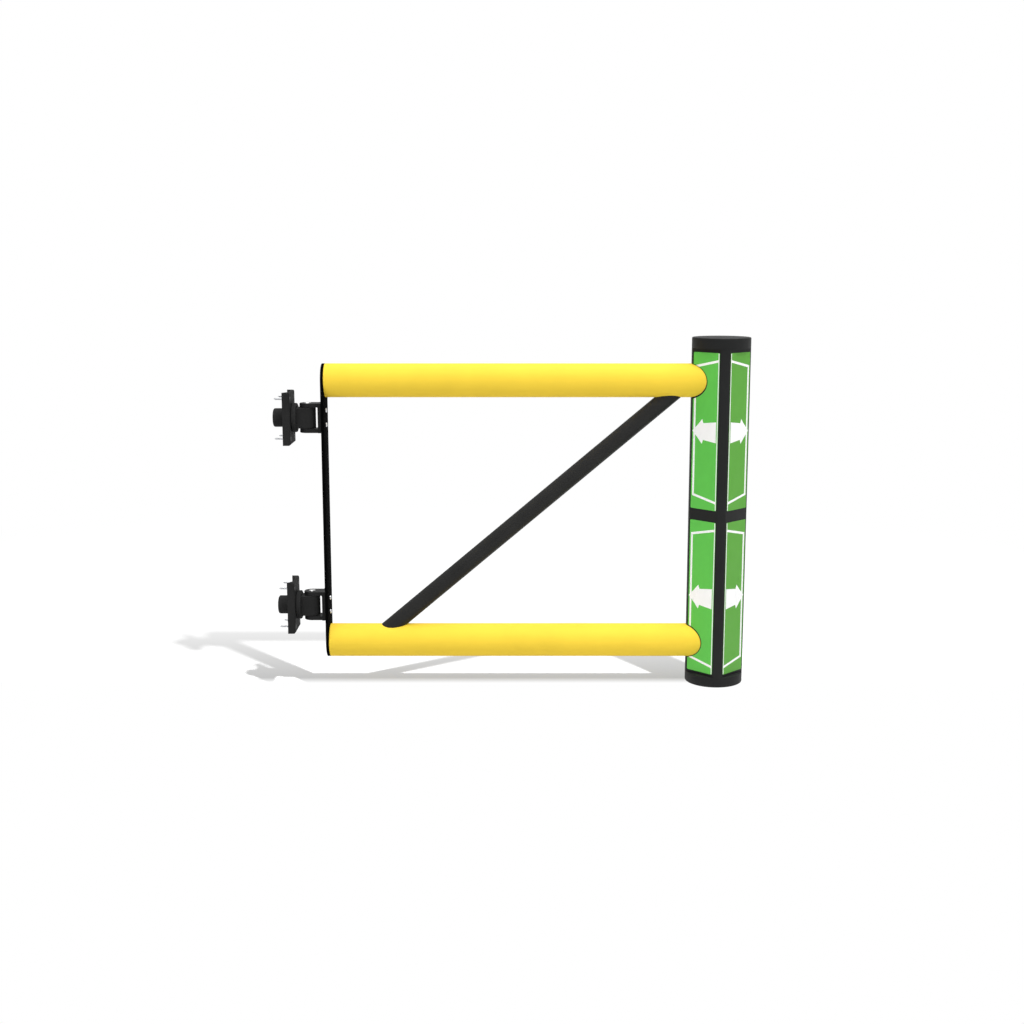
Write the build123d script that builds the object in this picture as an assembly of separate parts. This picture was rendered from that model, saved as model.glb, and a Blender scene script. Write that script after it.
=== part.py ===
from build123d import *
import os
from math import atan2, degrees, hypot, sqrt

# Safety railing gate, standing closed with its hinges on the left.
# The origin is the middle of the flat end of the lower bracket's plug.
# X runs along the leaf towards the free end, Y from front to back, Z up. Lengths are in millimetres.

# Hinge bracket: a saddle plate that fits a round post, with a plug that enters the post
plug_diameter = 50.0
plug_projection = 30.0
plug_edge = 5.0
plug_relief_length = 6.0
plug_relief_depth = 2.0
saddle_plate_thickness = 20.0
saddle_plate_width = 96.0
saddle_plate_height = 141.0
saddle_plate_edge = 3.0
saddle_radius = 80.0

# Fixing screws of a bracket
screw_spacing_across = 70.0
screw_spacing_up = 106.0
screw_diameter = 5.6
screw_shank_diameter = 6.6
screw_shank_showing = 4.5
screw_head_diameter = 11.0
screw_projection = 23.0
screw_tip = 2.0

# Hinge eye: collar, arm and barrel in one piece
collar_diameter = 78.0
collar_length = 13.5
collar_front_radius = 3.0
collar_back_chamfer = 2.5
barrel_diameter = 43.0
barrel_height = 54.6
collar_to_pin = 28.0
arm_root_depth = 8.0
barrel_edge = 1.2

# Hinge pin and its two flanged bushes
pin_diameter = 18.0
pin_proud = 1.0
pin_edge = 0.7
pin_clearance = 0.08
bush_wall = 2.5
bush_flange_diameter = 34.0
bush_flange_thickness = 1.4
flange_clearance = 0.3
bush_length = 16.0

# Clevis on the leaf, which straddles the eye
clevis_height = 79.0
clevis_base_width = 50.0
clevis_base_thickness = 11.0
clevis_root_fillet = 2.5
clevis_edge = 1.5
ear_edge = 1.0
pin_to_hinge_plate = 40.0
clevis_bolt_spacing = 38.6
clevis_bolt_diameter = 8.0
clevis_bolt_head_diameter = 12.0
clevis_bolt_head_height = 3.6
clevis_bolt_head_bevel = 1.8
clevis_bolt_socket_width = 5.0
clevis_bolt_socket_depth = 2.2
clevis_bolt_setback = 2.0

# Leaf
hinge_spacing = 514.0
rail_spacing = 713.0
rail_diameter = 90.0
rail_wall = 8.2
hinge_plate_thickness = 8.0
hinge_plate_edge = 1.0
plate_to_post_axis = 1054.4
brace_diameter = 45.5
brace_wall = 4.0
brace_foot_from_plate = 123.0
brace_head_from_post_axis = 86.8

# Inserts that close the rails at the hinge plate, and the screws that hold them
insert_length = 45.0
insert_clearance = 0.2
insert_screw_spacing = 38.0
insert_screw_diameter = 8.0
insert_screw_head_diameter = 14.0
insert_screw_head_height = 4.4
insert_screw_head_bevel = 2.2
insert_screw_length = 34.0

# End post: a tube with four flats at 45 degrees, closed by two round caps
post_height = 942.0
post_diameter = 156.0
post_flat_distance = 62.4
post_wall = 9.0
cap_height = 28.0
cap_wall = 5.0
cap_spigot_length = 30.0
cap_spigot_clearance = 0.3
top_cap_edge = 2.5
bottom_cap_edge = 4.0

# Sign plates on the flats
sign_thickness = 1.0
sign_width = 84.2
sign_corner = 3.0
upper_sign_margin = 38.0
lower_sign_margin = 36.0
sign_gap = 32.0
sign_rail_clearance = 3.3
sign_hole_shift = 1.3

# Places worked out from the sizes above
saddle_plate_start = plug_projection
saddle_plate_end = saddle_plate_start + saddle_plate_thickness
saddle_half_width = saddle_plate_width / 2
saddle_axis = saddle_plate_start - sqrt(saddle_radius ** 2 - saddle_half_width ** 2)
collar_end = saddle_plate_end + collar_length
pin_axis = collar_end + collar_to_pin
hinge_plate_outer = pin_axis + pin_to_hinge_plate
hinge_plate_inner = hinge_plate_outer + hinge_plate_thickness
post_axis = hinge_plate_inner + plate_to_post_axis
rail_radius = rail_diameter / 2
leaf_middle = hinge_spacing / 2
bottom_rail_height = leaf_middle - rail_spacing / 2
top_rail_height = leaf_middle + rail_spacing / 2
post_bottom = leaf_middle - post_height / 2
post_top = leaf_middle + post_height / 2
ear_gap = barrel_height + 2 * (bush_flange_thickness + flange_clearance)
ear_thickness = (clevis_height - ear_gap) / 2
clevis_base_start = hinge_plate_outer - clevis_base_thickness
bush_outer_radius = pin_diameter / 2 + pin_clearance + bush_wall
sign_height = (post_height - upper_sign_margin - lower_sign_margin - sign_gap) / 2


def bar_along_x(radius, start, end, across=0.0, height=0.0):
    """A round bar along X."""
    return Pos((start + end) / 2, across, height) * Rot(0, 90, 0) * Cylinder(radius, end - start)


def corners(across_spacing, up_spacing):
    """The four corners of an upright rectangle round a bracket's axis."""
    return [
        (across_side * across_spacing / 2, up_side * up_spacing / 2)
        for across_side in (-1, 1)
        for up_side in (-1, 1)
    ]


def saddle_plate():
    """A bracket plate with a hollow back that fits the round post, and countersunk screw holes."""
    middle = (saddle_plate_start + saddle_plate_end) / 2
    block = Pos(middle, 0, 0) * Box(saddle_plate_thickness, saddle_plate_width, saddle_plate_height)
    front_edges = block.faces().sort_by(Axis.X)[-1].edges()
    block = chamfer(front_edges, saddle_plate_edge)
    plate = block - Pos(saddle_axis, 0, 0) * Cylinder(saddle_radius, 2 * saddle_plate_height)
    for across, up in corners(screw_spacing_across, screw_spacing_up):
        plate -= fixing_screw(across, up)
    return plate


def fixing_screw(across, up):
    """A countersunk screw whose thin end stands out behind the plate."""
    tip = saddle_plate_start - screw_projection
    radius = screw_diameter / 2
    shank_radius = screw_shank_diameter / 2
    head_radius = screw_head_diameter / 2
    shank_start = saddle_axis + sqrt(saddle_radius ** 2 - across ** 2) - screw_shank_showing
    outline = Polyline(
        (tip, 0),
        (tip, radius - screw_tip / 2),
        (tip + screw_tip, radius),
        (shank_start, radius),
        (shank_start, shank_radius),
        (saddle_plate_end - head_radius + shank_radius, shank_radius),
        (saddle_plate_end, head_radius),
        (saddle_plate_end, 0),
        close=True,
    )
    screw = revolve(make_face(outline), Axis.X)
    return Pos(0, across, up) * screw


def fixing_screws():
    return Compound(children=[
        fixing_screw(across, up) for across, up in corners(screw_spacing_across, screw_spacing_up)
    ])


def plug():
    """The round plug behind the plate, relieved at its root and shaped to the hollow of the saddle."""
    body = bar_along_x(plug_diameter / 2, 0, saddle_plate_end)
    body = fillet(body.edges().sort_by(Axis.X)[0], plug_edge)
    relief_start = saddle_axis + saddle_radius - plug_relief_length
    relief = bar_along_x(plug_diameter / 2, relief_start, saddle_plate_end)
    relief -= bar_along_x(plug_diameter / 2 - plug_relief_depth, relief_start, saddle_plate_end)
    saddle = Pos(saddle_axis, 0, 0) * Cylinder(saddle_radius, 2 * saddle_plate_height)
    return (body - relief) & saddle


def hinge_eye():
    """Collar, arm and barrel, bored for the two bushes."""
    collar_radius = collar_diameter / 2
    collar_outline = Polyline(
        (saddle_plate_end, 0),
        (saddle_plate_end, collar_radius - collar_back_chamfer),
        (saddle_plate_end + collar_back_chamfer, collar_radius),
        (collar_end, collar_radius),
        (collar_end, 0),
        close=True,
    )
    collar = revolve(make_face(collar_outline), Axis.X)
    front_rim = collar.edges().filter_by(GeomType.CIRCLE).sort_by(Axis.X)[-1]
    collar = fillet(front_rim, collar_front_radius)
    arm_start = collar_end - arm_root_depth
    arm_length = pin_axis - arm_start
    arm = Pos(arm_start + arm_length / 2, 0, 0) * Box(arm_length, barrel_diameter, barrel_height)
    barrel = Pos(pin_axis, 0, 0) * Cylinder(barrel_diameter / 2, barrel_height)
    neck = arm + barrel
    rims = neck.faces().filter_by(Axis.Z).edges()
    neck = chamfer(rims, barrel_edge)
    eye = collar + neck
    return eye - Pos(pin_axis, 0, 0) * Cylinder(bush_outer_radius, 2 * barrel_height)


def bushes():
    """Two flanged bushes, one let into each end of the barrel."""
    bore_radius = pin_diameter / 2 + pin_clearance
    sleeve = Pos(0, 0, -bush_length / 2) * Cylinder(bush_outer_radius, bush_length)
    flange = Pos(0, 0, bush_flange_thickness / 2) * Cylinder(bush_flange_diameter / 2, bush_flange_thickness)
    bush = sleeve + flange - Cylinder(bore_radius, 4 * bush_length)
    upper = Pos(pin_axis, 0, barrel_height / 2) * bush
    lower = Pos(pin_axis, 0, -barrel_height / 2) * Rot(180, 0, 0) * bush
    return Compound(children=[upper, lower])


def clevis_bolt(up):
    """A round-headed socket bolt through the hinge plate into the clevis."""
    end = clevis_base_start + clevis_bolt_setback
    shank = bar_along_x(clevis_bolt_diameter / 2, end, hinge_plate_inner)
    head_end = hinge_plate_inner + clevis_bolt_head_height
    head = bar_along_x(clevis_bolt_head_diameter / 2, hinge_plate_inner, head_end)
    head = chamfer(head.edges().sort_by(Axis.X)[-1], clevis_bolt_head_bevel)
    socket = Pos(head_end, 0, 0) * Rot(0, 90, 0) * extrude(
        RegularPolygon(clevis_bolt_socket_width / 2, 6), -clevis_bolt_socket_depth
    )
    return Pos(0, 0, up) * (shank + head - socket)


def clevis_bolts():
    half = clevis_bolt_spacing / 2
    return Compound(children=[clevis_bolt(-half), clevis_bolt(half)])


def clevis():
    """A base plate with two rounded ears, drilled for the pin and for its bolts."""
    base = Pos(clevis_base_start + clevis_base_thickness / 2, 0, 0) * Box(
        clevis_base_thickness, clevis_base_width, clevis_height
    )
    base = fillet(base.edges().filter_by(Axis.Z).group_by(Axis.X)[0], clevis_edge)
    reach = clevis_base_start + clevis_base_thickness / 2 - pin_axis
    ear_block = Pos(pin_axis + reach / 2, 0, 0) * Box(reach, barrel_diameter, clevis_height)
    ear_end = Pos(pin_axis, 0, 0) * Cylinder(barrel_diameter / 2, clevis_height)
    gap_length = clevis_base_start - (pin_axis - barrel_diameter)
    gap = Pos(clevis_base_start - gap_length / 2, 0, 0) * Box(gap_length, 2 * clevis_base_width, ear_gap)
    gap = fillet(gap.edges().filter_by(Axis.Y).group_by(Axis.X)[-1], clevis_root_fillet)
    ears = ear_block + ear_end
    body = base + chamfer(ears.faces().filter_by(Axis.Z).edges(), ear_edge) - gap
    body -= Pos(pin_axis, 0, 0) * Cylinder(pin_diameter / 2, 2 * clevis_height)
    for side in (-1, 1):
        body -= bar_along_x(
            clevis_bolt_diameter / 2,
            clevis_base_start - 1,
            hinge_plate_outer + 1,
            height=side * clevis_bolt_spacing / 2,
        )
    return body


def hinge_pin():
    """A plain pin with bevelled ends, a little proud of both ears."""
    pin = Pos(pin_axis, 0, 0) * Cylinder(pin_diameter / 2, clevis_height + 2 * pin_proud)
    return chamfer(pin.edges().filter_by(GeomType.CIRCLE), pin_edge)


def insert_screw_heights():
    return [
        rail_height + side * insert_screw_spacing / 2
        for rail_height in (bottom_rail_height, top_rail_height)
        for side in (-1, 1)
    ]


def hinge_plate():
    """A long plate with round ends that follow the rails, drilled for bolts and screws."""
    outline = SlotCenterToCenter(rail_spacing, rail_diameter, rotation=90)
    plate = extrude(Plane.YZ * Pos(0, leaf_middle) * outline, hinge_plate_thickness)
    plate = Pos(hinge_plate_outer, 0, 0) * plate
    ends = plate.faces().sort_by(Axis.X)
    plate = chamfer(ends[0].edges() + ends[-1].edges(), hinge_plate_edge)
    for hinge_height in (0, hinge_spacing):
        for side in (-1, 1):
            height = hinge_height + side * clevis_bolt_spacing / 2
            plate -= bar_along_x(
                clevis_bolt_diameter / 2, hinge_plate_outer - 1, hinge_plate_inner + 1, height=height
            )
    for height in insert_screw_heights():
        plate -= bar_along_x(
            insert_screw_diameter / 2, hinge_plate_outer - 1, hinge_plate_inner + 1, height=height
        )
    return plate


def post_section(flat_distance, radius):
    """A circle with four flats at 45 degrees."""
    return Circle(radius) & (Rot(0, 0, 45) * Rectangle(2 * flat_distance, 2 * flat_distance))


def post_core():
    """The solid outer form of the post, without its bore."""
    section = post_section(post_flat_distance, post_diameter / 2)
    return Pos(post_axis, 0, post_bottom + cap_height) * extrude(section, post_height - 2 * cap_height)


def end_post():
    bore = post_section(post_flat_distance - post_wall, post_diameter / 2 - post_wall)
    return post_core() - Pos(post_axis, 0, post_bottom) * extrude(bore, post_height)


def cap(edge):
    """A round end cap with a hollow spigot that fits the post, its outer face at the origin."""
    disc = Pos(0, 0, cap_height / 2) * Cylinder(post_diameter / 2, cap_height)
    disc = fillet(disc.faces().sort_by(Axis.Z)[0].edges(), edge)
    outer_flat = post_flat_distance - post_wall - cap_spigot_clearance
    outer_radius = post_diameter / 2 - post_wall - cap_spigot_clearance
    spigot = extrude(post_section(outer_flat, outer_radius), cap_height + cap_spigot_length)
    hollow = extrude(
        post_section(outer_flat - cap_wall, outer_radius - cap_wall),
        cap_height + cap_spigot_length,
    )
    trimmed = spigot & (Pos(0, 0, cap_height + cap_spigot_length / 2) * Box(
        post_diameter, post_diameter, cap_spigot_length
    ))
    return disc + trimmed - Pos(0, 0, cap_wall) * hollow


def bottom_cap():
    return Pos(post_axis, 0, post_bottom) * cap(bottom_cap_edge)


def top_cap():
    return Pos(post_axis, 0, post_top) * Rot(180, 0, 0) * cap(top_cap_edge)


def rail(height):
    """A tube from the hinge plate to the post, its end cut to the two flats and the ridge between them."""
    outer = bar_along_x(rail_radius, hinge_plate_inner, post_axis, height=height)
    inner = bar_along_x(rail_radius - rail_wall, hinge_plate_inner - 1, post_axis + 1, height=height)
    return outer - inner - post_core()


def rail_insert(height):
    """The block inside the hinge end of a rail that takes its two screws."""
    radius = rail_radius - rail_wall - insert_clearance
    block = bar_along_x(radius, hinge_plate_inner, hinge_plate_inner + insert_length, height=height)
    for side in (-1, 1):
        block -= bar_along_x(
            insert_screw_diameter / 2,
            hinge_plate_inner - 1,
            hinge_plate_outer + insert_screw_length,
            height=height + side * insert_screw_spacing / 2,
        )
    return block


def insert_screws(rail_height):
    """Two round-headed screws through the hinge plate into a rail's insert."""
    screws = []
    for side in (-1, 1):
        shank = bar_along_x(
            insert_screw_diameter / 2, hinge_plate_outer, hinge_plate_outer + insert_screw_length
        )
        head = bar_along_x(
            insert_screw_head_diameter / 2, hinge_plate_outer - insert_screw_head_height, hinge_plate_outer
        )
        head = chamfer(head.edges().sort_by(Axis.X)[0], insert_screw_head_bevel)
        screws.append(Pos(0, 0, rail_height + side * insert_screw_spacing / 2) * (shank + head))
    return Compound(children=screws)


def brace():
    """A thinner tube between the rails, its ends hollowed to their round surfaces."""
    foot = hinge_plate_inner + brace_foot_from_plate
    head = post_axis - brace_head_from_post_axis
    run = head - foot
    rise = top_rail_height - bottom_rail_height
    length = hypot(run, rise)
    slope = degrees(atan2(run, rise))
    tube = Cylinder(brace_diameter / 2, length) - Cylinder(brace_diameter / 2 - brace_wall, 2 * length)
    tube = Pos((foot + head) / 2, 0, leaf_middle) * Rot(0, slope, 0) * tube
    for height in (bottom_rail_height, top_rail_height):
        tube -= bar_along_x(rail_radius, hinge_plate_inner, post_axis, height=height)
    return tube


def sign(direction, middle, meets_rail):
    """A thin plate on one flat of the post, cut away round a rail where one meets that flat."""
    outline = Plane.YZ * RectangleRounded(sign_width, sign_height, sign_corner)
    plate = Pos(post_flat_distance, 0, 0) * extrude(outline, sign_thickness)
    plate = Pos(post_axis, 0, middle) * Rot(0, 0, direction) * plate
    if meets_rail:
        cut_radius = rail_radius + sign_rail_clearance
        for height in (bottom_rail_height + sign_hole_shift, top_rail_height - sign_hole_shift):
            plate -= bar_along_x(cut_radius, hinge_plate_inner, post_axis, height=height)
    return plate


pieces = {}
bracket_pieces = {
    "bracket_plate": saddle_plate(),
    "bracket_plug": plug(),
    "bracket_screws": fixing_screws(),
    "hinge_eye": hinge_eye(),
    "hinge_bushes": bushes(),
    "hinge_pin": hinge_pin(),
    "clevis": clevis(),
    "clevis_bolts": clevis_bolts(),
}
for level, hinge_height in (("lower", 0), ("upper", hinge_spacing)):
    for name, solid in bracket_pieces.items():
        pieces[f"{level}_{name}"] = Pos(0, 0, hinge_height) * solid

pieces["hinge_plate"] = hinge_plate()
for level, rail_height in (("bottom", bottom_rail_height), ("top", top_rail_height)):
    pieces[f"{level}_rail"] = rail(rail_height)
    pieces[f"{level}_rail_insert"] = rail_insert(rail_height)
    pieces[f"{level}_rail_screws"] = insert_screws(rail_height)
pieces["diagonal_brace"] = brace()
pieces["end_post"] = end_post()
pieces["post_bottom_cap"] = bottom_cap()
pieces["post_top_cap"] = top_cap()

sign_middles = {
    "lower": post_bottom + lower_sign_margin + sign_height / 2,
    "upper": post_top - upper_sign_margin - sign_height / 2,
}
sign_directions = {"front_left": -135, "front_right": -45, "back_left": 135, "back_right": 45}
for place, direction in sign_directions.items():
    for level, middle in sign_middles.items():
        pieces[f"{place}_{level}_sign"] = sign(direction, middle, place.endswith("left"))

os.makedirs("parts", exist_ok=True)
for name, solid in pieces.items():
    export_step(solid, f"parts/{name}.step")
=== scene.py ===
from math import atan2, cos, pi, radians, sin, sqrt

import bmesh
import bpy
from mathutils import Matrix, Vector


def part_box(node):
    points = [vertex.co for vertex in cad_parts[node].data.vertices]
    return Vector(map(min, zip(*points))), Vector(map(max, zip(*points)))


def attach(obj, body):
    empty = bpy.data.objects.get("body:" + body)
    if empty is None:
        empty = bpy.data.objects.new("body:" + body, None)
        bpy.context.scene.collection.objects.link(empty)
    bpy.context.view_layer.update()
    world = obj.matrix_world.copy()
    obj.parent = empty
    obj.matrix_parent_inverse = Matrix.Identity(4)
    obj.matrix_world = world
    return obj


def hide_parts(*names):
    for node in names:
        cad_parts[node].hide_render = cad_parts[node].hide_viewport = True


# Safety railing gate: its finishes, tubes, post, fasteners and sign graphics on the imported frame.
# X runs along the leaf, Y from front to back and Z up. Lengths are in metres.
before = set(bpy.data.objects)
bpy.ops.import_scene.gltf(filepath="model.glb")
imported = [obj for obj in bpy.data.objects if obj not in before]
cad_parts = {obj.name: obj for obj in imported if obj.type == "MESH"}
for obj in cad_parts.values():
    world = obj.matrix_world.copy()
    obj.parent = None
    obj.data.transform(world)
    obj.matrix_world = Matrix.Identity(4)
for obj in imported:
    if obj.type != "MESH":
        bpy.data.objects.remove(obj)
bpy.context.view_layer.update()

# Leaf tubes
rail_wall = 0.0082
rail_end_edge = 0.0009
rail_hinge_edge = 0.0016
brace_radius = 0.02275
brace_wall = 0.004
brace_foot_from_plate = 0.123
brace_head_from_post_axis = 0.0868
plate_edge = 0.001

# End post
post_radius = 0.078
post_flat_distance = 0.0624
post_edge = 0.0008
top_cap_edge = 0.0025
bottom_cap_edge = 0.004
cap_inner_edge = 0.0006

# Signs on the flats of the post
sign_thickness = 0.001
sign_half_width = 0.0421
sign_half_height = 0.209
strip_thickness = 0.00011
frame_thickness = 0.00015
arrow_thickness = 0.00019
print_sunk = 0.0001
strip_width = 0.0024
strip_inset = 0.0006
strip_end_inset = 0.0012
outer_line_inset = 0.0042
outer_line_width = 0.0058
sloped_line_width = 0.0063
sloped_line_outer_height = 0.1715
sloped_line_inner_height = 0.188
arrow_tail = (0.0362, 0.0277)
arrow_neck = (-0.0057, 0.0222)
arrow_barb = (-0.0096, 0.0330)
arrow_shoulder = (-0.0230, 0.0180)
arrow_tip = (-0.0415, 0.0)
rail_clearance_radius = 0.0483
rail_cutter_length = 0.3
sign_hole_shift = 0.0013

# Domed bolts and screws
bolt_head_radius = 0.006
bolt_head_height = 0.0036
screw_head_radius = 0.007
screw_head_height = 0.0044
head_rim_height = 0.0012
shank_radius = 0.004
socket_depth = 0.0022
socket_floor_dip = 0.0004
socket_width = 0.005
socket_rim_share = 0.6
dome_top_share = 0.72
first_bolt_turn = 17
next_bolt_turn = 23

# Fixing screws behind the brackets
countersunk_head_radius = 0.0055
countersunk_socket_width = 0.0036
head_coat_depth = 0.004
fixing_shank_radius = 0.0033
fixing_shank_end = 0.0115
fixing_core_start = 0.012
fixing_core_radius = 0.0021
fixing_tip_length = 0.004
fixing_tip_share = 0.35
thread_radius = 0.0028
thread_root = 0.0018
thread_half_width = 0.0008
thread_pitch = 0.0022
thread_start_share = 0.6
thread_free_length = 0.013
next_screw_turn = 31

# Sides of the round forms, and the distances within which points count as one
rail_sides = 128
brace_sides = 96
plate_sides = 128
post_sides = 192
cap_sides = 144
head_sides = 48
dome_steps = 8
thread_steps = 24
merge_distance = 0.0000005
same_point = 0.00001

# Places read from the frame
plate_low, plate_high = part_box("hinge_plate")
top_rail_low, top_rail_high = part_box("top_rail")
bottom_rail_low, bottom_rail_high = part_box("bottom_rail")
post_low, post_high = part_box("end_post")
rail_radius = (top_rail_high.z - top_rail_low.z) / 2
top_rail_height = (top_rail_high.z + top_rail_low.z) / 2
bottom_rail_height = (bottom_rail_high.z + bottom_rail_low.z) / 2
post_x = (post_low.x + post_high.x) / 2
brace_foot = Vector((plate_high.x + brace_foot_from_plate, 0, bottom_rail_height))
brace_head = Vector((post_x - brace_head_from_post_axis, 0, top_rail_height))
brace_run = brace_head - brace_foot
brace_lean = atan2(brace_run.x, brace_run.z)


# Finishes

def fill(tree, socket, value):
    """Joins a node's input to another node's output, or sets it to a plain value."""
    if isinstance(value, bpy.types.NodeSocket):
        tree.links.new(value, socket)
    else:
        socket.default_value = value


def node(tree, kind, **inputs):
    """Adds a shader node and fills in its named inputs."""
    made = tree.nodes.new(kind)
    for name, value in inputs.items():
        fill(tree, made.inputs[name.replace("_", " ")], value)
    return made


def calculate(tree, operation, *values):
    """The result of a Math node on sockets or numbers."""
    made = node(tree, "ShaderNodeMath")
    made.operation = operation
    for socket, value in zip(made.inputs, values):
        fill(tree, socket, value)
    return made.outputs[0]


def combine_shaders(tree, kind, *parts):
    """Shaders mixed by an amount, or added to each other."""
    made = node(tree, kind)
    for socket, part in zip(made.inputs, parts):
        tree.links.new(part, socket)
    return made.outputs[0]


def grain(tree, size, stretch=(1, 1, 1), tilt=0.0, detail=3.0):
    """Noise with grains of about that size in metres, stretched along the piece where asked."""
    place = node(tree, "ShaderNodeTexCoord").outputs["Object"]
    mapping = node(tree, "ShaderNodeMapping", Vector=place, Rotation=(0, tilt, 0), Scale=stretch)
    mapping.vector_type = "TEXTURE"
    noise = node(tree, "ShaderNodeTexNoise", Vector=mapping.outputs["Vector"], Scale=1 / size)
    noise.inputs["Detail"].default_value = detail
    noise.inputs["Roughness"].default_value = 0.55
    return noise.outputs["Fac"]


def spread(tree, value, low, high, from_low=0.3, from_high=0.7):
    """A value moved into the range from low to high. Most of a noise lies between 0.3 and 0.7."""
    made = node(tree, "ShaderNodeMapRange", Value=value, To_Min=low, To_Max=high)
    made.inputs["From Min"].default_value = from_low
    made.inputs["From Max"].default_value = from_high
    return made.outputs["Result"]


def blend_colours(tree, amount, first, second):
    """One colour at an amount of 0, the other at 1."""
    made = node(tree, "ShaderNodeMix")
    made.data_type = "RGBA"
    tree.links.new(amount, made.inputs[0])
    colour_inputs = [socket for socket in made.inputs if socket.type == "RGBA"]
    for socket, colour in zip(colour_inputs, (first, second)):
        socket.default_value = (*colour, 1)
    return [socket for socket in made.outputs if socket.type == "RGBA"][0]


def raised(tree, height, depth, under=None):
    """A bump of that depth in metres, on top of another where one is given."""
    made = node(tree, "ShaderNodeBump", Height=height, Distance=depth, Strength=1)
    if under is not None:
        tree.links.new(under, made.inputs["Normal"])
    return made.outputs["Normal"]


def new_finish(name):
    """A new material, its nodes and its main shader."""
    finish = bpy.data.materials.new(name)
    finish.use_nodes = True
    tree = finish.node_tree
    return finish, tree, tree.nodes["Principled BSDF"]


def colour_input(tree, surface, amount, colour, lift):
    """Gives a surface its colour, up to lift times as light where the amount is 1."""
    lighter = tuple(min(1.0, channel * lift) for channel in colour)
    tree.links.new(blend_colours(tree, amount, colour, lighter), surface.inputs["Base Color"])


def roughness_input(tree, surface, noise, roughness, smoother, rougher):
    """Lets a surface's roughness follow a noise between two limits round its middle value."""
    varied = spread(tree, noise, roughness - smoother, roughness + rougher)
    tree.links.new(varied, surface.inputs["Roughness"])


def moulded_finish(
    name, colour, lift, roughness, gloss, stretch=(1, 1, 1), tilt=0.0, flow_depth=0.00006
):
    """Moulded or extruded polymer: cloudy colour, fine skin, flow lines and rubbed patches."""
    finish, tree, surface = new_finish(name)
    cloud = spread(tree, grain(tree, size=0.09, detail=4.0), 0, 1)
    colour_input(tree, surface, cloud, colour, lift)
    rubbed = grain(tree, size=0.028, stretch=stretch, tilt=tilt, detail=6.0)
    roughness_input(tree, surface, rubbed, roughness, smoother=0.06, rougher=0.06)
    flow = raised(tree, grain(tree, size=0.006, stretch=stretch, tilt=tilt), depth=flow_depth)
    skin = raised(tree, grain(tree, size=0.0011, detail=2.0), depth=0.00004, under=flow)
    tree.links.new(skin, surface.inputs["Normal"])
    surface.inputs["Specular IOR Level"].default_value = gloss
    return finish


def powder_coat_finish(name, colour, lift, roughness, gloss):
    """Powder coat on steel: a pebbled skin with small differences in sheen."""
    finish, tree, surface = new_finish(name)
    cloud = spread(tree, grain(tree, size=0.03, detail=4.0), 0, 1)
    colour_input(tree, surface, cloud, colour, lift)
    sheen = grain(tree, size=0.012)
    roughness_input(tree, surface, sheen, roughness, smoother=0.05, rougher=0.07)
    pebbles = raised(tree, grain(tree, size=0.0016, detail=1.0), depth=0.00008)
    tree.links.new(pebbles, surface.inputs["Normal"])
    surface.inputs["Specular IOR Level"].default_value = gloss
    return finish


def metal_finish(name, colour, darker, roughness, stretch=(1, 1, 1)):
    """Bright metal with fine tool marks and a slightly mottled sheen."""
    finish, tree, surface = new_finish(name)
    mottle = spread(tree, grain(tree, size=0.004, detail=5.0), 0, 1)
    tree.links.new(blend_colours(tree, mottle, colour, darker), surface.inputs["Base Color"])
    sheen = grain(tree, size=0.0015)
    roughness_input(tree, surface, sheen, roughness, smoother=0.07, rougher=0.09)
    marks = raised(tree, grain(tree, size=0.0009, stretch=stretch), depth=0.00002)
    tree.links.new(marks, surface.inputs["Normal"])
    surface.inputs["Metallic"].default_value = 1.0
    return finish


def printed_finish(name, colour, lift, roughness):
    """Printed film on a plate: an even colour with a faint mottle under a rippled gloss."""
    finish, tree, surface = new_finish(name)
    mottle = spread(tree, grain(tree, size=0.02, detail=5.0), 0, 1)
    colour_input(tree, surface, mottle, colour, lift)
    sheen = grain(tree, size=0.035, detail=6.0)
    roughness_input(tree, surface, sheen, roughness, smoother=0.05, rougher=0.08)
    ripple = raised(tree, grain(tree, size=0.008, detail=2.0), depth=0.00003)
    tree.links.new(ripple, surface.inputs["Normal"])
    surface.inputs["Specular IOR Level"].default_value = 0.25
    return finish


yellow_polymer = moulded_finish(
    "yellow_polymer",
    colour=(0.90, 0.63, 0.053),
    lift=1.05,
    roughness=0.66,
    gloss=0.12,
    stretch=(25, 1, 1),
)
post_polymer = moulded_finish(
    "post_polymer",
    colour=(0.0115, 0.012, 0.012),
    lift=1.25,
    roughness=0.56,
    gloss=0.2,
    stretch=(1, 1, 20),
)
brace_polymer = moulded_finish(
    "brace_polymer",
    colour=(0.0225, 0.0225, 0.022),
    lift=1.2,
    roughness=0.4,
    gloss=0.08,
    stretch=(1, 1, 20),
    tilt=brace_lean,
    flow_depth=0.00003,
)
bracket_polymer = moulded_finish(
    "bracket_polymer", colour=(0.0188, 0.0188, 0.0188), lift=1.3, roughness=0.64, gloss=0.05
)
bush_polymer = moulded_finish(
    "bush_polymer", colour=(0.04, 0.04, 0.041), lift=1.15, roughness=0.45, gloss=0.35
)
insert_polymer = moulded_finish(
    "insert_polymer", colour=(0.02, 0.02, 0.02), lift=1.2, roughness=0.6, gloss=0.25
)
plate_steel = powder_coat_finish(
    "plate_steel", colour=(0.0017, 0.0017, 0.0018), lift=1.5, roughness=0.82, gloss=0.006
)
clevis_steel = powder_coat_finish(
    "clevis_steel", colour=(0.011, 0.011, 0.0112), lift=1.25, roughness=0.5, gloss=0.18
)
pin_steel = metal_finish(
    "pin_steel",
    colour=(0.9, 0.9, 0.89),
    darker=(0.78, 0.78, 0.78),
    roughness=0.24,
    stretch=(1, 1, 0.125),
)
zinc_screw = metal_finish(
    "zinc_screw", colour=(0.74, 0.75, 0.76), darker=(0.62, 0.63, 0.66), roughness=0.34
)
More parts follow.
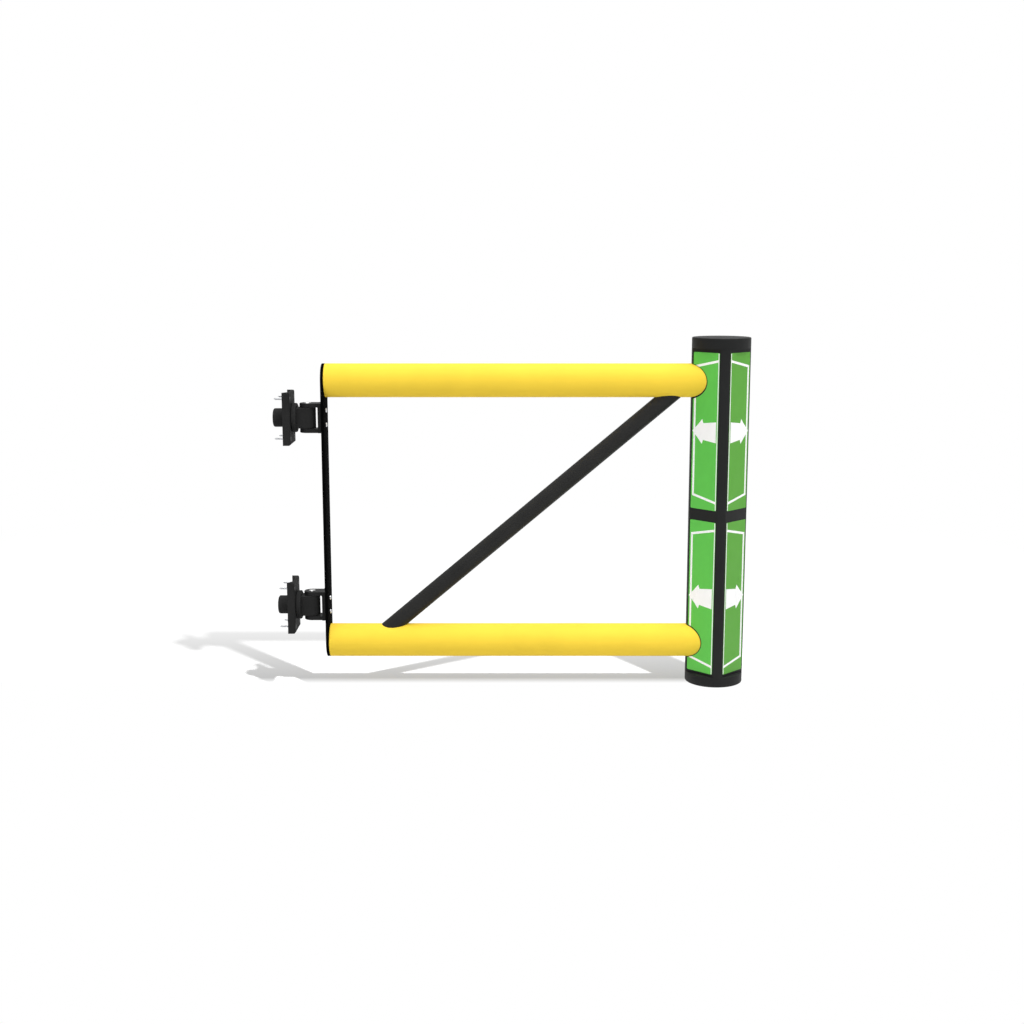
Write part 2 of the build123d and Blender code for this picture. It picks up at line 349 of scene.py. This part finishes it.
blackened_head = metal_finish(
    "blackened_head", colour=(0.10, 0.10, 0.10), darker=(0.07, 0.07, 0.07), roughness=0.5
)
left_sign_green = printed_finish(
    "left_sign_green", colour=(0.118, 0.55, 0.078), lift=1.04, roughness=0.38
)
# The right-hand signs take a darker, more olive copy of the sign green: painted shade for the less
# lit right-hand flats.
right_sign_green = printed_finish(
    "right_sign_green", colour=(0.108, 0.372, 0.046), lift=1.04, roughness=0.44
)
sign_white = printed_finish("sign_white", colour=(0.97, 0.97, 0.97), lift=1.03, roughness=0.4)

finish_by_slot = {
    "yellow_polymer": yellow_polymer,
    "post_polymer": post_polymer,
    "brace_polymer": brace_polymer,
    "bracket_polymer": bracket_polymer,
    "plate_steel": plate_steel,
    "clevis_steel": clevis_steel,
    "pin_steel": pin_steel,
    "zinc_screw": zinc_screw,
    "bush_polymer": bush_polymer,
    "insert_polymer": insert_polymer,
    "green_sign": left_sign_green,
}
for name, cad_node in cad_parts.items():
    for slot in cad_node.material_slots:
        packed_name = slot.material.name.split(".")[0]
        slot.material = finish_by_slot[packed_name]
    # Signs on the right-hand flats get the green with painted shade.
    if "_right_" in name:
        cad_node.material_slots[0].material = right_sign_green


# Making pieces

def add_piece(name, shape, finish, body, stands_for=(), crease=28):
    """Makes a piece of a shape, smooth except at its sharp edges, and lets it ride on a body."""
    bmesh.ops.recalc_face_normals(shape, faces=shape.faces)
    for face in shape.faces:
        face.smooth = True
    for edge in shape.edges:
        edge.smooth = len(edge.link_faces) == 2 and edge.calc_face_angle() < radians(crease)
    mesh = bpy.data.meshes.new(name)
    shape.to_mesh(mesh)
    shape.free()
    mesh.materials.append(finish)
    piece = bpy.data.objects.new(name, mesh)
    bpy.context.scene.collection.objects.link(piece)
    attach(piece, body)
    if stands_for:
        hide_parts(*stands_for)
    return piece


def turned(outline, steps):
    """A closed shape turned round Z. Its (radius, height) points start and end on the axis."""
    shape = bmesh.new()
    points = [shape.verts.new((radius, 0, height)) for radius, height in outline]
    edges = [shape.edges.new(pair) for pair in zip(points, points[1:])]
    bmesh.ops.spin(
        shape,
        geom=points + edges,
        cent=(0, 0, 0),
        axis=(0, 0, 1),
        dvec=(0, 0, 0),
        angle=2 * pi,
        steps=steps,
        use_merge=True,
        use_duplicate=False,
    )
    bmesh.ops.remove_doubles(shape, verts=shape.verts, dist=merge_distance)
    bmesh.ops.recalc_face_normals(shape, faces=shape.faces)
    return shape


def rounded_corner(radius, height, edge, start, end, steps=6):
    """Outline points of a rounded edge about (radius, height), from one angle to another."""
    angles = [radians(start + (end - start) * step / steps) for step in range(steps + 1)]
    return [(radius + edge * cos(angle), height + edge * sin(angle)) for angle in angles]


def join_shapes(shapes):
    """Puts several shapes into one."""
    whole = bmesh.new()
    for shape in shapes:
        mesh = bpy.data.meshes.new("part")
        shape.to_mesh(mesh)
        shape.free()
        whole.from_mesh(mesh)
        bpy.data.meshes.remove(mesh)
    return whole


def placed(shape, place):
    """The shape, moved to its place."""
    bmesh.ops.transform(shape, matrix=place, verts=shape.verts)
    return shape


def bevel_edges(shape, edges, width, segments):
    """Rounds some edges of a shape."""
    bmesh.ops.bevel(
        shape,
        geom=edges,
        offset=width,
        offset_type="OFFSET",
        segments=segments,
        profile=0.5,
        affect="EDGES",
        material=-1,
        clamp_overlap=True,
    )


def carve(piece, cutters):
    """Cuts the cutters out of a piece, and removes them."""
    for cutter in cutters:
        cut = piece.modifiers.new("Carve", "BOOLEAN")
        cut.operation = "DIFFERENCE"
        cut.solver = "EXACT"
        cut.object = cutter
    carved = piece.evaluated_get(bpy.context.evaluated_depsgraph_get())
    piece.data = bpy.data.meshes.new_from_object(carved)
    piece.modifiers.clear()
    for cutter in cutters:
        bpy.data.objects.remove(cutter)


# Rails, brace and hinge plate

def post_face(across):
    """Where the post's surface lies along X, at a distance across from the middle of the leaf."""
    ridge = sqrt(post_radius ** 2 - across ** 2)
    flats = post_flat_distance * sqrt(2) - abs(across)
    return post_x - min(ridge, flats)


def tube(walls, place, length, segments, fit_near, fit_far):
    """A tube along its own Z. Each point of its ends is moved to the surface that the end meets."""
    shape = bmesh.new()
    near_edges = []
    far_edges = []
    for radius in walls:
        ring = bmesh.ops.create_circle(
            shape, cap_ends=False, segments=segments, radius=radius, matrix=place
        )["verts"]
        edges = list({edge for vertex in ring for edge in vertex.link_edges})
        made = bmesh.ops.extrude_edge_only(shape, edges=edges)["geom"]
        far_ring = [part for part in made if isinstance(part, bmesh.types.BMVert)]
        bmesh.ops.translate(shape, verts=far_ring, vec=place.to_3x3() @ Vector((0, 0, length)))
        for vertex in ring:
            fit_near(vertex)
        for vertex in far_ring:
            fit_far(vertex)
        near_edges.append(edges)
        far_edges.append([
            edge for vertex in far_ring for edge in vertex.link_edges
            if edge.other_vert(vertex) in far_ring
        ])
    rims = []
    for outer, inner in (near_edges, far_edges):
        rims.append(list(set(outer)))
        bmesh.ops.bridge_loops(shape, edges=list(set(outer + inner)))
    return shape, rims


def leave(vertex):
    """A tube end that stays as it is."""


def meet_post(vertex):
    """Moves a point of a rail's end along the rail to the surface of the post."""
    vertex.co.x = post_face(vertex.co.y)


def make_rail(name, low, high):
    """A yellow rail with a straight end at the hinge plate and its other end cut to the post."""
    height = (low.z + high.z) / 2
    place = Matrix.Translation((low.x, 0, height)) @ Matrix.Rotation(pi / 2, 4, "Y")
    walls = (rail_radius, rail_radius - rail_wall)
    shape, rims = tube(walls, place, high.x - low.x, rail_sides, leave, meet_post)
    bevel_edges(shape, rims[0], rail_hinge_edge, segments=4)
    bevel_edges(shape, rims[1], rail_end_edge, segments=3)
    add_piece(name + "_tube", shape, yellow_polymer, "leaf", [name])


make_rail("top_rail", top_rail_low, top_rail_high)
make_rail("bottom_rail", bottom_rail_low, bottom_rail_high)


def meet_rail(rail_height, side):
    """Moves a point of the brace's end along the brace to the round surface of a rail."""
    def fit(vertex):
        surface = rail_height + side * sqrt(rail_radius ** 2 - vertex.co.y ** 2)
        vertex.co += brace_run * ((surface - vertex.co.z) / brace_run.z)
    return fit


brace_turn = brace_run.to_track_quat("Z", "Y").to_matrix().to_4x4()
brace_place = Matrix.Translation(brace_foot) @ brace_turn
brace_shape, brace_rims = tube(
    (brace_radius, brace_radius - brace_wall),
    brace_place,
    brace_run.length,
    brace_sides,
    meet_rail(bottom_rail_height, 1),
    meet_rail(top_rail_height, -1),
)
add_piece("brace_tube", brace_shape, brace_polymer, "leaf", ["diagonal_brace"])


def make_hinge_plate():
    """The long plate with round ends, its edges slightly rounded."""
    shape = bmesh.new()
    turn = Matrix.Rotation(pi / 2, 4, "Y") @ Matrix.Rotation(pi / plate_sides, 4, "Z")
    place = Matrix.Translation((plate_low.x, 0, bottom_rail_height)) @ turn
    outline = bmesh.ops.create_circle(
        shape, cap_ends=True, segments=plate_sides, radius=rail_radius, matrix=place
    )["verts"]
    upper_end = [vertex for vertex in outline if vertex.co.z > bottom_rail_height]
    bmesh.ops.translate(shape, verts=upper_end, vec=(0, 0, top_rail_height - bottom_rail_height))
    made = bmesh.ops.extrude_face_region(shape, geom=shape.faces[:])["geom"]
    inner_face = [part for part in made if isinstance(part, bmesh.types.BMVert)]
    bmesh.ops.translate(shape, verts=inner_face, vec=(plate_high.x - plate_low.x, 0, 0))
    rims = [
        edge for edge in shape.edges if abs(edge.verts[0].co.x - edge.verts[1].co.x) < same_point
    ]
    bevel_edges(shape, rims, plate_edge, segments=3)
    add_piece("hinge_plate_coated", shape, plate_steel, "leaf", ["hinge_plate"])


make_hinge_plate()


# End post and its caps

def make_post():
    """The post's outer form, round with four flats, its long edges slightly rounded."""
    shape = bmesh.new()
    place = Matrix.Translation((post_x, 0, post_low.z))
    bmesh.ops.create_circle(
        shape, cap_ends=True, segments=post_sides, radius=post_radius, matrix=place
    )
    for quarter in range(4):
        angle = pi / 4 + quarter * pi / 2
        outwards = Vector((cos(angle), sin(angle), 0))
        bmesh.ops.bisect_plane(
            shape,
            geom=shape.verts[:] + shape.edges[:] + shape.faces[:],
            dist=merge_distance,
            plane_co=place.translation + outwards * post_flat_distance,
            plane_no=outwards,
            clear_outer=True,
        )
    made = bmesh.ops.extrude_face_region(shape, geom=shape.faces[:])["geom"]
    upper_end = [part for part in made if isinstance(part, bmesh.types.BMVert)]
    bmesh.ops.translate(shape, verts=upper_end, vec=(0, 0, post_high.z - post_low.z))
    flat_edge_turn = radians(15)
    long_edges = [
        edge for edge in shape.edges
        if abs(edge.verts[0].co.z - edge.verts[1].co.z) > post_radius
        and edge.calc_face_angle() > flat_edge_turn
    ]
    bevel_edges(shape, long_edges, post_edge, segments=3)
    add_piece("end_post_extrusion", shape, post_polymer, "leaf", ["end_post"])


make_post()


def make_cap(name, foot, height, edge, downwards):
    """A round end cap with a rounded outer edge and a small one where it meets the post."""
    inner_radius = post_radius - cap_inner_edge
    outline = [(0, 0), (inner_radius, 0)]
    outline += rounded_corner(inner_radius, cap_inner_edge, cap_inner_edge, -90, 0, steps=3)
    outline += rounded_corner(post_radius - edge, height - edge, edge, 0, 90)
    outline += [(0, height)]
    cap = turned(outline, cap_sides)
    turn = Matrix.Rotation(pi, 4, "X") if downwards else Matrix.Identity(4)
    placed(cap, Matrix.Translation((post_x, 0, foot)) @ turn)
    add_piece(name + "_moulding", cap, post_polymer, "leaf", [name])


top_cap_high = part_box("post_top_cap")[1]
bottom_cap_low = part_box("post_bottom_cap")[0]
top_cap_height = top_cap_high.z - post_high.z
bottom_cap_height = post_low.z - bottom_cap_low.z
make_cap("post_top_cap", post_high.z, top_cap_height, top_cap_edge, downwards=False)
make_cap("post_bottom_cap", post_low.z, bottom_cap_height, bottom_cap_edge, downwards=True)


# Sign graphics

def flat_shape(corners, thickness, side):
    """A thin printed shape from the corners of its outline, across and up the sign."""
    shape = bmesh.new()
    points = [shape.verts.new((-print_sunk, side * across, up)) for across, up in corners]
    shape.faces.new(points)
    made = bmesh.ops.extrude_face_region(shape, geom=shape.faces[:])["geom"]
    front = [part for part in made if isinstance(part, bmesh.types.BMVert)]
    bmesh.ops.translate(shape, verts=front, vec=(print_sunk + thickness, 0, 0))
    return shape


def frame_corners():
    """The line up beside the outer edge, with its slopes to the inner edge at both ends."""
    outer = -sign_half_width + outer_line_inset
    inner = outer + outer_line_width
    middle = (outer + inner) / 2
    slope = (sloped_line_inner_height - sloped_line_outer_height) / (sign_half_width - middle)
    half_line = sloped_line_width / 2
    outer_top = sloped_line_outer_height + (outer - middle) * slope + half_line
    inner_top = sloped_line_outer_height + (inner - middle) * slope - half_line
    in_strip = sign_half_width - strip_inset - strip_width / 2
    upper = [
        (inner, inner_top),
        (in_strip, sloped_line_inner_height - half_line),
        (in_strip, sloped_line_inner_height + half_line),
        (outer, outer_top),
    ]
    lower = [(across, -up) for across, up in reversed(upper)]
    return upper + lower


def strip_corners():
    """The narrow line along the sign's inner edge."""
    outer = sign_half_width - strip_inset
    inner = outer - strip_width
    end = sign_half_height - strip_end_inset
    return [(inner, -end), (outer, -end), (outer, end), (inner, end)]


def arrow_corners():
    """A plain arrow that points to the sign's outer edge."""
    upper = [arrow_tail, arrow_neck, arrow_barb, arrow_shoulder]
    lower = [(across, -up) for across, up in reversed(upper)]
    return upper + [arrow_tip] + lower


def rail_cutter(height):
    """A bar as wide as the opening that the sign leaves for a rail."""
    cutter = bmesh.new()
    middle = (post_x - rail_cutter_length / 2, 0, height)
    place = Matrix.Translation(middle) @ Matrix.Rotation(pi / 2, 4, "Y")
    bmesh.ops.create_cone(
        cutter,
        cap_ends=True,
        segments=rail_sides,
        radius1=rail_clearance_radius,
        radius2=rail_clearance_radius,
        depth=rail_cutter_length,
        matrix=place,
    )
    mesh = bpy.data.meshes.new("rail_cutter")
    cutter.to_mesh(mesh)
    cutter.free()
    made = bpy.data.objects.new("rail_cutter", mesh)
    bpy.context.scene.collection.objects.link(made)
    return made


sign_turns = {
    "front_left": (-135, 1),
    "front_right": (-45, -1),
    "back_left": (135, -1),
    "back_right": (45, 1),
}
for place_name, (turn, side) in sign_turns.items():
    for level in ("lower", "upper"):
        sign_name = place_name + "_" + level + "_sign"
        sign_low, sign_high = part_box(sign_name)
        middle = (sign_low.z + sign_high.z) / 2
        place = (
            Matrix.Translation((post_x, 0, middle))
            @ Matrix.Rotation(radians(turn), 4, "Z")
            @ Matrix.Translation((post_flat_distance + sign_thickness, 0, 0))
        )
        graphics = {
            "frame": (frame_corners(), frame_thickness),
            "strip": (strip_corners(), strip_thickness),
            "arrow": (arrow_corners(), arrow_thickness),
        }
        for part_name, (corners, thickness) in graphics.items():
            shape = placed(flat_shape(corners, thickness, side), place)
            piece = add_piece(sign_name + "_" + part_name, shape, sign_white, "leaf")
            if part_name == "frame" and place_name.endswith("left"):
                shift = sign_hole_shift if level == "lower" else -sign_hole_shift
                rail_height = bottom_rail_height if level == "lower" else top_rail_height
                carve(piece, [rail_cutter(rail_height + shift)])


# Bolts and screws

def hexagon_reach(angle, width):
    """How far a hexagon's side is from its middle at an angle, for a width across flats."""
    return width / 2 / cos(angle % (pi / 3) - pi / 6)


def cut_hexagon(screw, rim, floor_height, width):
    """Moves the round wall of a screw's socket to a hexagon."""
    for vertex in screw.verts:
        reach = vertex.co.xy.length
        if abs(reach - rim) < same_point and vertex.co.z > floor_height - same_point:
            angle = Vector((1, 0)).angle_signed(vertex.co.xy)
            vertex.co.xy *= hexagon_reach(angle % (2 * pi), width) / reach


def socket_head(radius, height, shank_length):
    """A domed head with a hexagon socket on a plain shank. Its seat is at 0 and it points up."""
    top_radius = socket_width * dome_top_share
    dome = []
    for step in range(dome_steps + 1):
        angle = step / dome_steps * pi / 2
        dome.append((
            top_radius + (radius - top_radius) * cos(angle),
            head_rim_height + (height - head_rim_height) * sin(angle),
        ))
    rim = socket_width * socket_rim_share
    socket_floor = height - socket_depth
    outline = [(0, -shank_length), (shank_radius, -shank_length), (shank_radius, 0), (radius, 0)]
    outline += dome
    outline += [(rim, height), (rim, socket_floor), (0, socket_floor - socket_floor_dip)]
    head = turned(outline, head_sides)
    cut_hexagon(head, rim, socket_floor, socket_width)
    return head


def solid_corners(node_name):
    """The lowest and highest corners of each separate solid of a CAD node, lowest solid first."""
    whole = bmesh.new()
    whole.from_mesh(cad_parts[node_name].data)
    bmesh.ops.remove_doubles(whole, verts=whole.verts, dist=same_point)
    unseen = set(whole.verts)
    corners = []
    while unseen:
        group = [unseen.pop()]
        for vertex in group:
            for edge in vertex.link_edges:
                other = edge.other_vert(vertex)
                if other in unseen:
                    unseen.remove(other)
                    group.append(other)
        lows = [min(vertex.co[axis] for vertex in group) for axis in range(3)]
        highs = [max(vertex.co[axis] for vertex in group) for axis in range(3)]
        corners.append((Vector(lows), Vector(highs)))
    whole.free()
    return sorted(corners, key=lambda pair: (pair[0].z, pair[0].y))


def make_bolts(name, radius, height, aim):
    """Domed bolts for a CAD node's plain ones. Aim is 1 or -1, the way their heads point on X."""
    shapes = []
    for count, (low, high) in enumerate(solid_corners(name)):
        head = socket_head(radius, height, high.x - low.x - height)
        turn = Matrix.Rotation(radians(first_bolt_turn + next_bolt_turn * count), 4, "Z")
        seat = high.x - height if aim > 0 else low.x + height
        seat_middle = Vector((seat, (low.y + high.y) / 2, (low.z + high.z) / 2))
        place = Matrix.Translation(seat_middle) @ Matrix.Rotation(aim * pi / 2, 4, "Y")
        shapes.append(placed(head, place @ turn))
    add_piece(name + "_domed", join_shapes(shapes), zinc_screw, "leaf", [name])


for level in ("lower", "upper"):
    make_bolts(level + "_clevis_bolts", bolt_head_radius, bolt_head_height, 1)
for level in ("bottom", "top"):
    make_bolts(level + "_rail_screws", screw_head_radius, screw_head_height, -1)


def fixing_thread(length):
    """The thread of a fixing screw, a ridge that winds up from the tip."""
    thread = bmesh.new()
    start = -length + fixing_tip_length * thread_start_share
    ridge = [
        (thread_root, start - thread_half_width),
        (thread_radius, start),
        (thread_root, start + thread_half_width),
    ]
    points = [thread.verts.new((radius, 0, height)) for radius, height in ridge]
    edges = [thread.edges.new(pair) for pair in zip(points, points[1:] + points[:1])]
    turns = int((length - fixing_tip_length - thread_free_length) / thread_pitch)
    bmesh.ops.spin(
        thread,
        geom=points + edges,
        cent=(0, 0, 0),
        axis=(0, 0, 1),
        dvec=(0, 0, thread_pitch / thread_steps),
        angle=2 * pi * turns,
        steps=thread_steps * turns,
        use_merge=False,
        use_duplicate=False,
    )
    bmesh.ops.holes_fill(thread, edges=thread.edges, sides=3)
    return thread


def fixing_screw(length):
    """A threaded countersunk screw whose head is flush at 0 and whose tip points down."""
    rim = countersunk_socket_width * socket_rim_share
    outline = [
        (0, -length),
        (fixing_core_radius * fixing_tip_share, -length),
        (fixing_core_radius, -length + fixing_tip_length),
        (fixing_core_radius, -fixing_core_start),
        (fixing_shank_radius, -fixing_shank_end),
        (fixing_shank_radius, fixing_shank_radius - countersunk_head_radius),
        (countersunk_head_radius, 0),
        (rim, 0),
        (rim, -socket_depth),
        (0, -socket_depth - socket_floor_dip),
    ]
    core = turned(outline, head_sides)
    cut_hexagon(core, rim, -socket_depth, countersunk_socket_width)
    return join_shapes([core, fixing_thread(length)])


def make_fixing_screws(level):
    """The four fixing screws of a bracket, with blackened heads."""
    head_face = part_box(level + "_bracket_screws")[1].x
    shapes = []
    for count, (low, high) in enumerate(solid_corners(level + "_bracket_screws")):
        screw = fixing_screw(high.x - low.x)
        turn = Matrix.Rotation(radians(next_screw_turn * count), 4, "Z")
        head_middle = Vector((high.x, (low.y + high.y) / 2, (low.z + high.z) / 2))
        place = Matrix.Translation(head_middle) @ Matrix.Rotation(pi / 2, 4, "Y")
        shapes.append(placed(screw, place @ turn))
    screws = add_piece(
        level + "_fixing_screws",
        join_shapes(shapes),
        zinc_screw,
        "brackets",
        [level + "_bracket_screws"],
    )
    screws.data.materials.append(blackened_head)
    for face in screws.data.polygons:
        if face.center.x > head_face - head_coat_depth:
            face.material_index = 1


make_fixing_screws("lower")
make_fixing_screws("upper")


# Floor, surroundings, lamps and camera

white = (1, 1, 1, 1)
floor_height = -0.233
floor_middle = Vector((0.45, 0.15, floor_height))
floor_scattering = (0.245, 0.245, 0.245)
floor_colour = (0.30, 0.30, 0.30)
floor_lift = 0.37
floor_reach = 12.0
floor_sides = 96
lit_reach = 1.7
faded_reach = 2.9
near_shadow_start = 0.032
near_shadow_end = 0.082
far_shadow_start = 0.08
far_shadow_end = 0.6
far_shadow_fade = 0.68


def seen_directly(tree):
    """1 for what the camera sees directly, mirrored or through glass, 0 for scattered light."""
    path = node(tree, "ShaderNodeLightPath").outputs
    mirrored = calculate(tree, "MAXIMUM", path["Is Camera Ray"], path["Is Glossy Ray"])
    return calculate(tree, "MAXIMUM", mirrored, path["Is Transmission Ray"])


def floor_finish():
    """A white floor with the shadows behind the gate. Painted light pales the shadows in front of
    the gate and with distance.
    """
    finish = bpy.data.materials.new("studio_floor")
    finish.use_nodes = True
    tree = finish.node_tree
    tree.nodes.clear()
    direct = seen_directly(tree)
    colour = blend_colours(tree, direct, floor_scattering, floor_colour)
    matt = node(tree, "ShaderNodeBsdfDiffuse", Color=colour).outputs[0]
    lift = spread(tree, direct, 0, floor_lift, 0, 1)
    glow = node(tree, "ShaderNodeEmission", Color=white, Strength=lift).outputs[0]
    paper = combine_shaders(tree, "ShaderNodeAddShader", matt, glow)
    plain = node(tree, "ShaderNodeEmission", Color=white, Strength=1).outputs[0]
    place = node(tree, "ShaderNodeTexCoord").outputs["Object"]
    offset = node(tree, "ShaderNodeVectorMath")
    offset.operation = "DISTANCE"
    tree.links.new(place, offset.inputs[0])
    offset.inputs[1].default_value = floor_middle
    fade = node(tree, "ShaderNodeMapRange", Value=offset.outputs["Value"])
    fade.interpolation_type = "SMOOTHSTEP"
    fade.inputs["From Min"].default_value = lit_reach
    fade.inputs["From Max"].default_value = faded_reach
    depth = node(tree, "ShaderNodeSeparateXYZ", Vector=place).outputs["Y"]
    # Painted light: the floor glows whiter by place, fading the shadows further back and taking
    # them out in front.
    behind = spread(tree, depth, 0, far_shadow_fade, far_shadow_start, far_shadow_end)
    before = spread(tree, depth, 1, 0, near_shadow_start, near_shadow_end)
    paler = calculate(tree, "MAXIMUM", fade.outputs["Result"], behind)
    paler = calculate(tree, "MAXIMUM", paler, before)
    amount = calculate(tree, "MULTIPLY", paler, direct)
    mixed = combine_shaders(tree, "ShaderNodeMixShader", amount, paper, plain)
    node(tree, "ShaderNodeOutputMaterial", Surface=mixed)
    return finish


floor_shape = bmesh.new()
floor_place = Matrix.Translation(floor_middle)
bmesh.ops.create_circle(
    floor_shape, cap_ends=True, segments=floor_sides, radius=floor_reach, matrix=floor_place
)
floor_mesh = bpy.data.meshes.new("studio_floor")
floor_shape.to_mesh(floor_mesh)
floor_shape.free()
floor_mesh.materials.append(floor_finish())
floor = bpy.data.objects.new("studio_floor", floor_mesh)
bpy.context.scene.collection.objects.link(floor)


def make_surroundings(scattered_light, mirrored_light):
    """White light from all round. Each kind is given as its level and its rises along X, Y, Z."""
    world = bpy.data.worlds.new("studio")
    world.use_nodes = True
    bpy.context.scene.world = world
    tree = world.node_tree
    tree.nodes.clear()
    direction = node(tree, "ShaderNodeTexCoord").outputs["Generated"]
    steps = node(tree, "ShaderNodeSeparateXYZ", Vector=direction).outputs

    def background(light):
        """White light that is stronger on one side than on the other."""
        strength, *rises = light
        for step, rise in zip(steps, rises):
            strength = calculate(tree, "MULTIPLY_ADD", step, rise, strength)
        return node(tree, "ShaderNodeBackground", Color=white, Strength=strength).outputs[0]

    scattered = background(scattered_light)
    mirrored = background(mirrored_light)
    plain = node(tree, "ShaderNodeBackground", Color=white, Strength=1).outputs[0]
    path = node(tree, "ShaderNodeLightPath").outputs
    lit = combine_shaders(tree, "ShaderNodeMixShader", path["Is Glossy Ray"], scattered, mirrored)
    seen = calculate(tree, "MAXIMUM", path["Is Camera Ray"], path["Is Transmission Ray"])
    whole = combine_shaders(tree, "ShaderNodeMixShader", seen, lit, plain)
    node(tree, "ShaderNodeOutputWorld", Surface=whole)


make_surroundings(
    scattered_light=(0.69, -0.10, -0.12, 0),
    mirrored_light=(0.38, 0.34, 0.22, 0.4),
)


def add_lamp(name, place, target, power, width):
    """A round soft lamp aimed at a point."""
    lamp = bpy.data.lights.new(name, "AREA")
    lamp.energy = power
    lamp.shape = "DISK"
    lamp.size = width
    made = bpy.data.objects.new(name, lamp)
    made.location = place
    made.rotation_euler = (Vector(target) - Vector(place)).to_track_quat("-Z", "Y").to_euler()
    bpy.context.scene.collection.objects.link(made)
    return made


gate_middle = (0.6, 0, 0.25)
shadow_middle = (0.2, 0.3, floor_height)
key_place = (3.43, -4.0, 6.97)
key = add_lamp("key_lamp", key_place, gate_middle, power=150, width=0.5)
shadow = add_lamp("floor_shadow_lamp", key_place, shadow_middle, power=2500, width=0.35)

overhead_data = bpy.data.lights.new("overhead_lamp", "SUN")
overhead_data.energy = 2.1
overhead_data.angle = radians(60)
overhead_data.use_shadow = False
overhead = bpy.data.objects.new("overhead_lamp", overhead_data)
overhead.rotation_euler = (radians(4), 0, 0)
bpy.context.scene.collection.objects.link(overhead)

floor_only = bpy.data.collections.new("floor_only")
floor_only.objects.link(floor)
shadow.light_linking.receiver_collection = floor_only
not_floor = bpy.data.collections.new("not_floor")
not_floor.objects.link(floor)
not_floor.collection_objects[0].light_linking.link_state = "EXCLUDE"
for lamp in (key, overhead):
    lamp.light_linking.receiver_collection = not_floor

camera_data = bpy.data.cameras.new("camera")
camera_data.sensor_width = 36
camera_data.lens = 50
camera = bpy.data.objects.new("camera", camera_data)
camera.location = (0.6379, -3.794, 0.9287)
camera.rotation_euler = (radians(79.96), 0, 0)
bpy.context.scene.collection.objects.link(camera)
bpy.context.scene.camera = camera
bpy.context.scene.view_settings.view_transform = "Standard"
